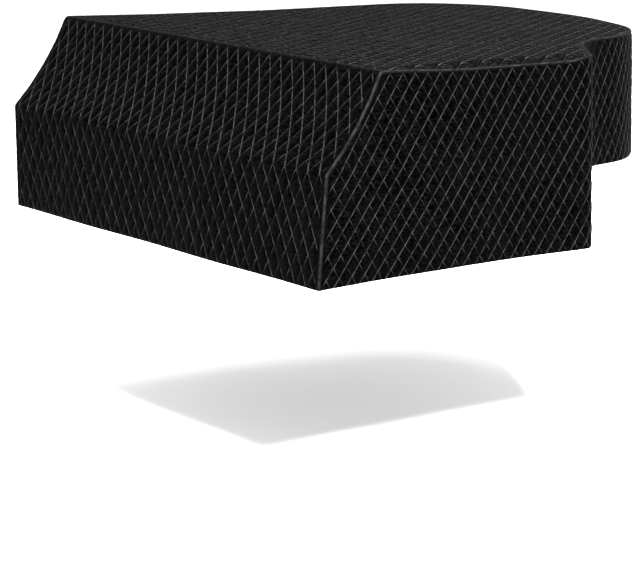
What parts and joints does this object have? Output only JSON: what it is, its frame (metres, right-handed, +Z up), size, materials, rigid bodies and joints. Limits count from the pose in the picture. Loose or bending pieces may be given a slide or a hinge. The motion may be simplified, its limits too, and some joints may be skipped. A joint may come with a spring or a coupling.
{
  "type": "grand piano cover",
  "caption": "Fitted cover for a closed grand piano: quilted top, sloping front and straight skirts, with piped seams and a shorter skirt at the tail.",
  "frame": {"origin": "on the plane of the lid, which is the underside of the top panel, midway in the cover's width and in its length from the front drop to the tail", "axes": "+X to the treble side, +Y to the tail, +Z up"},
  "size_m": [1.5155, 1.7032, 0.5538],
  "materials": {
    "quilted_cloth": "black woven cloth with a low sheen, quilted in diamonds over a thin padding",
    "cord_cloth": "black bias-cut cloth over a round cord, smooth, slightly wrinkled"
  },
  "bodies": {
    "root": {"top_panel": "quilted_cloth", "front_panel": "quilted_cloth", "treble_skirt": "quilted_cloth", "bass_skirt": "quilted_cloth", "top_cord": "cord_cloth", "treble_corner_cord": "cord_cloth", "bass_corner_cord": "cord_cloth"}
  },
  "joints": []
}
